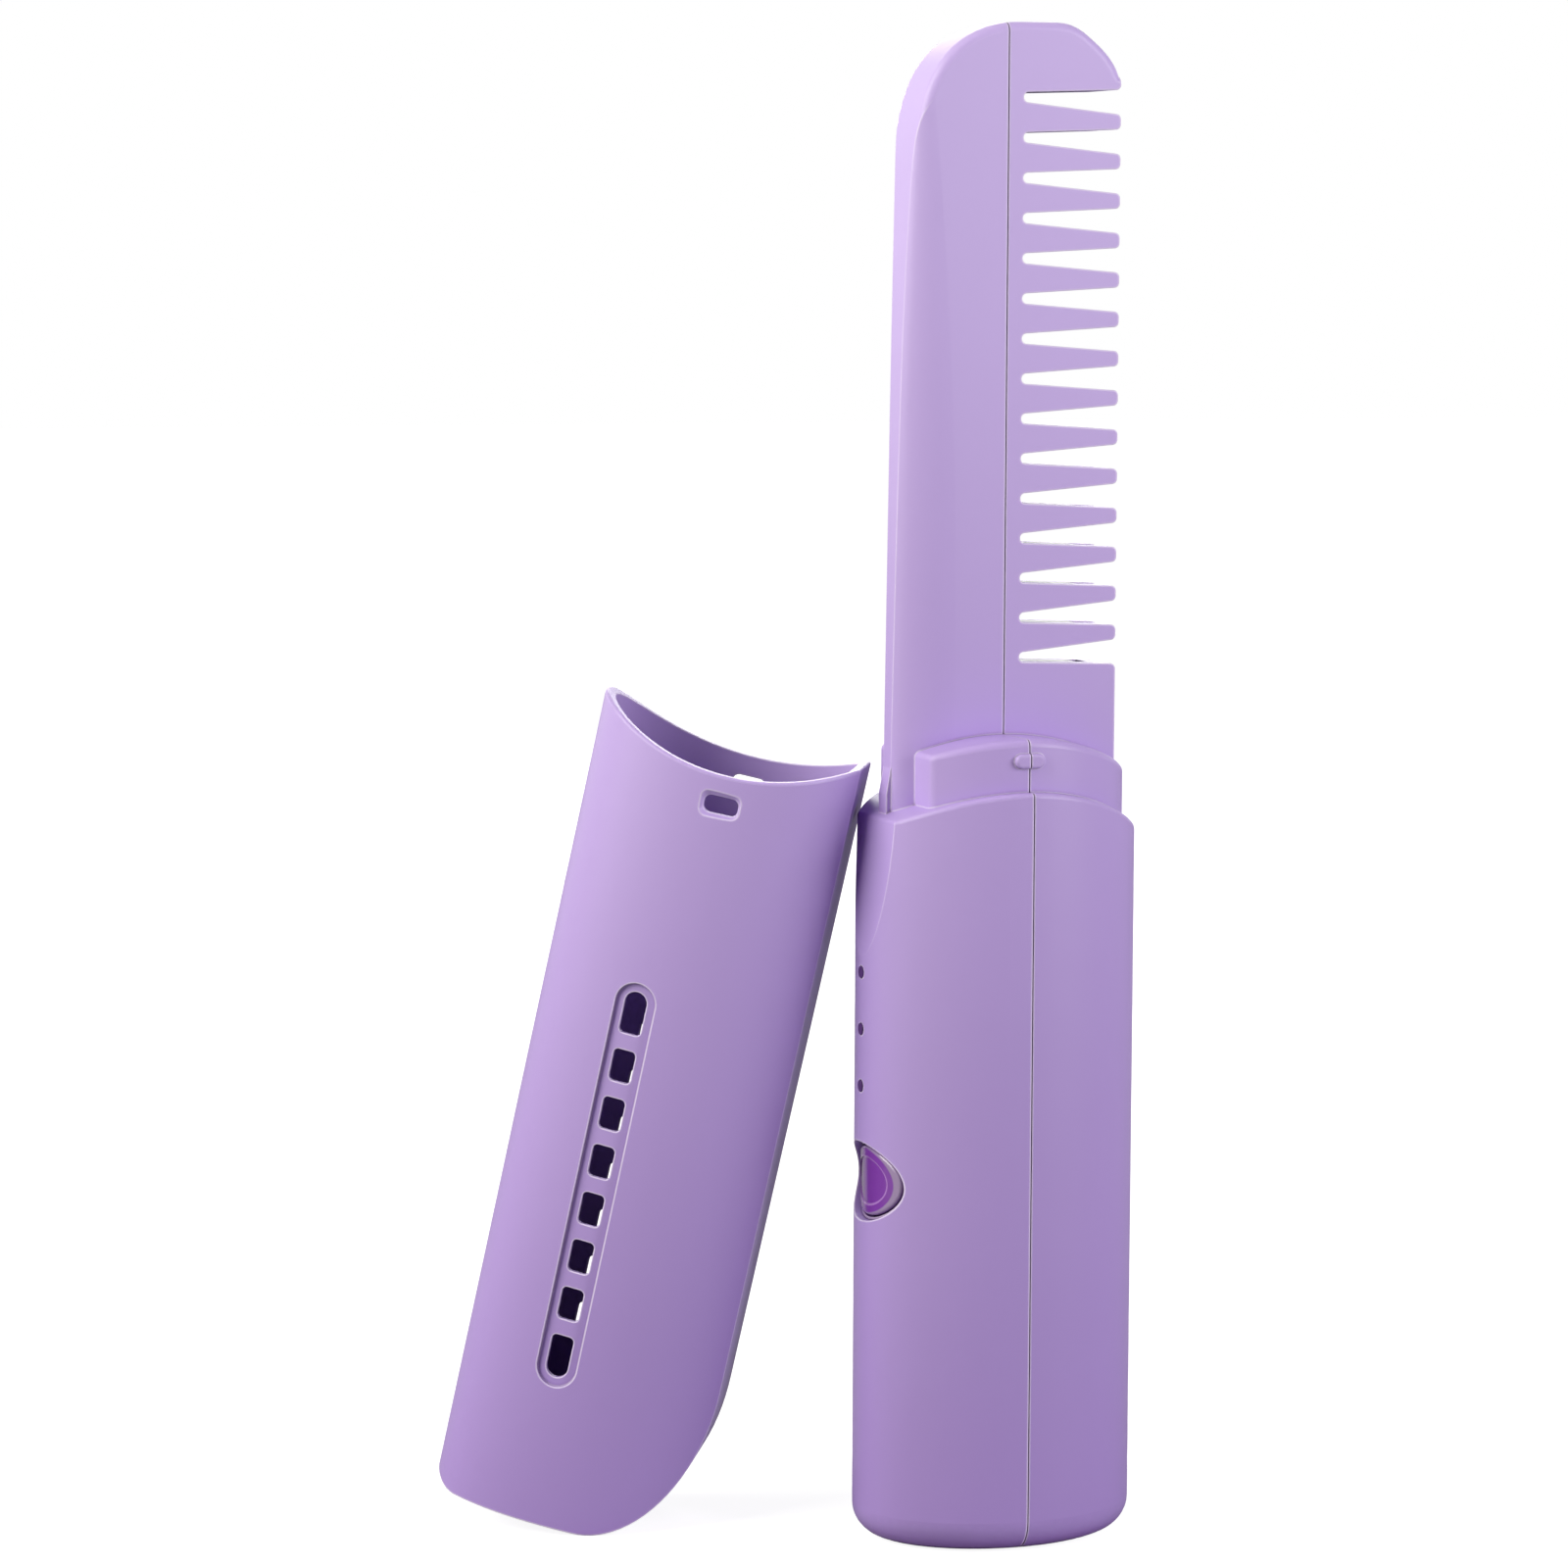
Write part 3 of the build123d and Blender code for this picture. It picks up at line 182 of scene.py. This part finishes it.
def distance_of(tree, vector):
    """The length of a vector."""
    node = add(tree, "ShaderNodeVectorMath", operation="LENGTH")
    tree.links.new(vector, node.inputs[0])
    return node.outputs["Value"]


def of_two(tree, operation, first, second):
    """A Math node's result for two values."""
    node = add(tree, "ShaderNodeMath", operation=operation)
    tree.links.new(first, node.inputs[0])
    tree.links.new(second, node.inputs[1])
    return node.outputs["Value"]


def map_range(tree, value, low, high, to_low, to_high):
    node = add(tree, "ShaderNodeMapRange")
    numbers = {"From Min": low, "From Max": high, "To Min": to_low, "To Max": to_high}
    for key, number in numbers.items():
        node.inputs[key].default_value = number
    tree.links.new(value, node.inputs["Value"])
    return node.outputs["Result"]


NOISE_LOW, NOISE_HIGH = 0.3, 0.7       # most of the noise lies between these


def noise(tree, scale, detail=3.0):
    node = add(tree, "ShaderNodeTexNoise")
    node.inputs["Scale"].default_value = scale
    node.inputs["Detail"].default_value = detail
    tree.links.new(object_coords(tree), node.inputs["Vector"])
    return node.outputs["Fac"]


def drift(tree, scale, low, high, detail=3.0):
    """A value that wanders between low and high over the surface."""
    return map_range(tree, noise(tree, scale, detail), NOISE_LOW, NOISE_HIGH, low, high)


def uneven(tree, scale, value, spread):
    """A value that wanders around the given one by a share of itself."""
    return drift(tree, scale, value * (1 - spread), value * (1 + spread))


def ramp(tree, fac, low, low_colour, high, high_colour):
    """A colour that goes from one to the other between two values."""
    node = add(tree, "ShaderNodeValToRGB")
    first, last = node.color_ramp.elements
    first.position, first.color = low, low_colour
    last.position, last.color = high, high_colour
    tree.links.new(fac, node.inputs["Fac"])
    return node.outputs["Color"]


def mottled(tree, scale, rgb, darker, lighter):
    """A colour that wanders between a darker and a lighter tone of itself."""
    return ramp(tree, noise(tree, scale), NOISE_LOW, linear(rgb, darker),
                NOISE_HIGH, linear(rgb, lighter))


def times(tree, colour, factor):
    """A colour scaled by a value."""
    node = add(tree, "ShaderNodeVectorMath", operation="SCALE")
    tree.links.new(colour, node.inputs[0])
    tree.links.new(factor, node.inputs["Scale"])
    return node.outputs["Vector"]


def mixed(tree, factor, first, second, blend="MIX"):
    """The first colour at 0, the second (a fixed colour) at 1."""
    node = add(tree, "ShaderNodeMix", data_type="RGBA", blend_type=blend)
    tree.links.new(factor, node.inputs["Factor"])
    tree.links.new(first, node.inputs["A"])
    node.inputs["B"].default_value = second
    return node.outputs["Result"]


def grainy(tree, scale, strength, detail=3.0, normal=None):
    """The normal of a surface with a fine grain."""
    node = add(tree, "ShaderNodeBump")
    node.inputs["Distance"].default_value = GRAIN_DEPTH
    node.inputs["Strength"].default_value = strength
    tree.links.new(noise(tree, scale, detail), node.inputs["Height"])
    if normal is not None:
        tree.links.new(normal, node.inputs["Normal"])
    return node.outputs["Normal"]


def height_share(tree):
    """0 at the foot of the object, 1 at its top."""
    split = add(tree, "ShaderNodeSeparateXYZ")
    tree.links.new(object_coords(tree), split.inputs["Vector"])
    return map_range(tree, split.outputs["Z"], 0.0, CAD_BOX[1].z, 0.0, 1.0)


def softened(tree, radius):
    """The surface's normal, rounded within the radius of an edge."""
    node = add(tree, "ShaderNodeBevel", samples=PROBES)
    node.inputs["Radius"].default_value = radius
    return node.outputs["Normal"]


def edge_highlight_share(tree):
    """Up to EDGE_HIGHLIGHT_SHARE on the edges of a form, 0 on its open faces: the mask of the
    painted edge highlight.
    """
    dot = add(tree, "ShaderNodeVectorMath", operation="DOT_PRODUCT")
    tree.links.new(add(tree, "ShaderNodeNewGeometry").outputs["Normal"], dot.inputs[0])
    tree.links.new(softened(tree, EDGE_HIGHLIGHT_REACH), dot.inputs[1])
    return map_range(tree, dot.outputs["Value"], *EDGE_HIGHLIGHT_TURN, 0.0, EDGE_HIGHLIGHT_SHARE)


def enclosed_share(tree, reach, openness, share=1.0):
    """0 where the surface lies open, up to the share where walls stand within the reach: the mask
    of painted shade.
    """
    full, none = openness
    node = add(tree, "ShaderNodeAmbientOcclusion", samples=PROBES, only_local=False)
    node.inputs["Distance"].default_value = reach
    return map_range(tree, node.outputs["AO"], none, full, 0.0, share)


def off_button_middle(tree):
    """0 on the violet part of the button's face, 1 on the mauve crescent beside it."""
    half_wide, half_high = BUTTON_OVAL
    across, up = BUTTON_MIDDLE
    place = add(tree, "ShaderNodeMapping")
    place.inputs["Location"].default_value = (0.0, -across / half_wide, -up / half_high)
    place.inputs["Scale"].default_value = (0.0, 1 / half_wide, 1 / half_high)
    tree.links.new(object_coords(tree), place.inputs["Vector"])
    return map_range(tree, distance_of(tree, place.outputs["Vector"]), *BUTTON_RIM, 0.0, 1.0)


# ------------------------------------------------------------------ materials
def moulded(name, shaded_foot_rgb, lit_top_rgb, edge_highlight_rgb, roughness, coat=0.0, crescent_rgb=None):
    """Plastic whose tone drifts with the height as painted light, lighter at the top and darker at
    the foot, with painted highlights on its edges, painted shade in its corners and between close
    walls, and a grain.
    """
    material, tree, shader = new_material(name)
    # painted light and shade: lighter towards the top, darker towards the foot
    painted_height_light = ramp(tree, height_share(tree), 0.0, linear(shaded_foot_rgb), 1.0, linear(lit_top_rgb))
    cloud = drift(tree, CLOUD_SCALE, 1 - CLOUD_SPREAD, 1 + CLOUD_SPREAD, detail=1.0)
    tone = times(tree, painted_height_light, cloud)
    if crescent_rgb:
        tone = mixed(tree, off_button_middle(tree), tone, linear(crescent_rgb))
    # painted highlight along edges
    tone = mixed(tree, edge_highlight_share(tree), tone, linear(edge_highlight_rgb))
    # painted shade: walls that stand close darken and tint each other as bounced light would
    bounce_shade = enclosed_share(tree, ROOM_REACH, ROOM_OPEN)
    tone = mixed(tree, bounce_shade, tone, ROOM_TINT, "MULTIPLY")
    # painted shade in inner corners; the same mask also roughens them
    crease_shade = enclosed_share(tree, CREASE_REACH, CREASE_OPEN, CREASE_SHARE)
    tone = mixed(tree, crease_shade, tone, linear(CREASE_SHADE_VIOLET))
    gloss = drift(tree, GLOSS_SCALE, roughness - GLOSS_SPREAD, roughness + GLOSS_SPREAD, detail=1.0)
    normal = grainy(tree, MOULD_GRAIN_SCALE, MOULD_GRAIN_STRENGTH, detail=2.0,
                    normal=softened(tree, EDGE_ROUND))
    tree.links.new(tone, shader.inputs["Base Color"])
    tree.links.new(of_two(tree, "MAXIMUM", gloss, crease_shade), shader.inputs["Roughness"])
    tree.links.new(normal, shader.inputs["Normal"])
    shader.inputs["IOR"].default_value = PLASTIC_IOR
    shader.inputs["Specular IOR Level"].default_value = PLASTIC_SPECULAR
    shader.inputs["Coat Weight"].default_value = coat
    shader.inputs["Coat Roughness"].default_value = COAT_ROUGHNESS
    return material


def plain_surface(name, rgb, roughness, metallic):
    """A plain material with mottled tone, uneven gloss and a fine grain."""
    material, tree, shader = new_material(name)
    tone = mottled(tree, PLAIN_TONE_SCALE, rgb, 1 - PLAIN_TONE_SPREAD, 1 + PLAIN_TONE_SPREAD)
    gloss = uneven(tree, PLAIN_GLOSS_SCALE, roughness, PLAIN_GLOSS_SPREAD)
    normal = grainy(tree, PLAIN_GRAIN_SCALE, PLAIN_GRAIN_STRENGTH)
    tree.links.new(tone, shader.inputs["Base Color"])
    tree.links.new(gloss, shader.inputs["Roughness"])
    tree.links.new(normal, shader.inputs["Normal"])
    shader.inputs["Metallic"].default_value = metallic
    return material


def guide_plastic():
    """The dark, half clear plastic of the three small windows."""
    material, tree, shader = new_material("clear_guide")
    tone = mottled(tree, GUIDE_TONE_SCALE, GUIDE, GUIDE_DARKEST, 1.0)
    gloss = uneven(tree, GUIDE_GLOSS_SCALE, GUIDE_ROUGHNESS, GUIDE_GLOSS_SPREAD)
    tree.links.new(tone, shader.inputs["Base Color"])
    tree.links.new(gloss, shader.inputs["Roughness"])
    shader.inputs["Transmission Weight"].default_value = GUIDE_CLEAR
    shader.inputs["IOR"].default_value = GUIDE_IOR
    return material


def dress(material, nodes):
    """Gives a material to CAD nodes."""
    for node in nodes:
        node_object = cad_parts[node]
        if not node_object.material_slots:
            node_object.data.materials.append(material)
        for place in node_object.material_slots:
            place.link = "OBJECT"
            place.material = material


def dress_nodes():
    lavender = moulded("lavender_plastic", LAVENDER_FOOT_SHADED, LAVENDER_HEAD_LIT, LAVENDER_EDGE_HIGHLIGHT,
                       roughness=0.36)
    violet = moulded("violet_plastic", VIOLET, VIOLET, VIOLET_EDGE_HIGHLIGHT,
                     roughness=0.24, coat=1.0, crescent_rgb=RING)
    mauve = moulded("mauve_ring", RING, RING, RING_EDGE_HIGHLIGHT, roughness=0.34)
    dress(lavender, ["back_shell", "front_shell", "cap"])
    dress(violet, ["power_button"])
    dress(mauve, ["button_ring"])
    dress(guide_plastic(), ["light_guide"])
    for name, rgb, roughness, metallic, nodes in PLAIN_SURFACES:
        dress(plain_surface(name, rgb, roughness, metallic), nodes)


# ------------------------------------------------------------------ camera
def make_camera():
    overhead = Vector((0.0, 0.0, 1.0))
    ahead = Vector((math.sin(VIEW_TURN), math.cos(VIEW_TURN), 0.0))
    right = Vector((math.cos(VIEW_TURN), -math.sin(VIEW_TURN), 0.0))
    forward = ahead * math.cos(VIEW_DOWN) - overhead * math.sin(VIEW_DOWN)
    up = ahead * math.sin(VIEW_DOWN) + overhead * math.cos(VIEW_DOWN)
    rolled_right = right * math.cos(VIEW_ROLL) + up * math.sin(VIEW_ROLL)
    rolled_up = up * math.cos(VIEW_ROLL) - right * math.sin(VIEW_ROLL)
    data = bpy.data.cameras.new("camera")
    data.sensor_width = SENSOR
    data.lens = SENSOR * FOCAL_PIXELS / IMAGE_SIDE
    data.clip_start = CLIP_START
    camera = bpy.data.objects.new("camera", data)
    bpy.context.scene.collection.objects.link(camera)
    turn = Matrix((rolled_right, rolled_up, -forward)).transposed()
    camera.matrix_world = Matrix.Translation(CAMERA_PLACE) @ turn.to_4x4()
    bpy.context.scene.camera = camera


# ------------------------------------------------------------------ floor, background and light
def seen_rays(tree, kinds):
    """1 for the named kinds of ray, 0 for the others."""
    rays = add(tree, "ShaderNodeLightPath")
    seen = rays.outputs[kinds[0]]
    for kind in kinds[1:]:
        seen = of_two(tree, "MAXIMUM", seen, rays.outputs[kind])
    return seen


def floor_glow(tree):
    """A little under white by the object, white away from it, and only for the camera."""
    glow = map_range(tree, distance_of(tree, object_coords(tree)),
                     GLOW_NEAR, GLOW_FAR, FLOOR_GLOW, 1.0)
    seen = seen_rays(tree, ("Is Camera Ray", "Is Transmission Ray"))
    return of_two(tree, "MULTIPLY", glow, seen)


def make_floor():
    corners = [(-1, -1), (1, -1), (1, 1), (-1, 1)]
    mesh = bpy.data.meshes.new("floor")
    vertices = [(x * FLOOR_HALF, y * FLOOR_HALF, 0) for x, y in corners]
    mesh.from_pydata(vertices, [], [(0, 1, 2, 3)])
    floor = bpy.data.objects.new("floor", mesh)
    floor.location.z = -FLOOR_DROP
    bpy.context.scene.collection.objects.link(floor)
    material, tree, shader = new_material("floor_white")
    shader.inputs["Base Color"].default_value = linear(FLOOR)
    shader.inputs["Roughness"].default_value = FLOOR_ROUGHNESS
    shader.inputs["Specular IOR Level"].default_value = 0.0
    shader.inputs["Emission Color"].default_value = WHITE
    tree.links.new(floor_glow(tree), shader.inputs["Emission Strength"])
    floor.data.materials.append(material)


def make_lights():
    for name, place, size, power, colour in LAMPS:
        data = bpy.data.lights.new(name, "AREA")
        data.shape = "RECTANGLE"
        data.size, data.size_y = size
        data.energy = power
        data.color = colour
        lamp = bpy.data.objects.new(name, data)
        lamp.location = place
        towards = Vector(LAMP_AIM) - Vector(place)
        lamp.rotation_euler = towards.to_track_quat("-Z", "Y").to_euler()
        bpy.context.scene.collection.objects.link(lamp)


def make_world():
    world = bpy.data.worlds.new("world")
    bpy.context.scene.world = world
    world.use_nodes = True
    tree = world.node_tree
    background = tree.nodes["Background"]
    background.inputs["Color"].default_value = WHITE
    seen = seen_rays(tree, ("Is Camera Ray", "Is Transmission Ray", "Is Glossy Ray"))
    strength = map_range(tree, seen, 0.0, 1.0, AMBIENT, 1.0)
    tree.links.new(strength, background.inputs["Strength"])


dress_nodes()
make_camera()
make_floor()
make_lights()
make_world()
bpy.context.scene.view_settings.view_transform = "Standard"
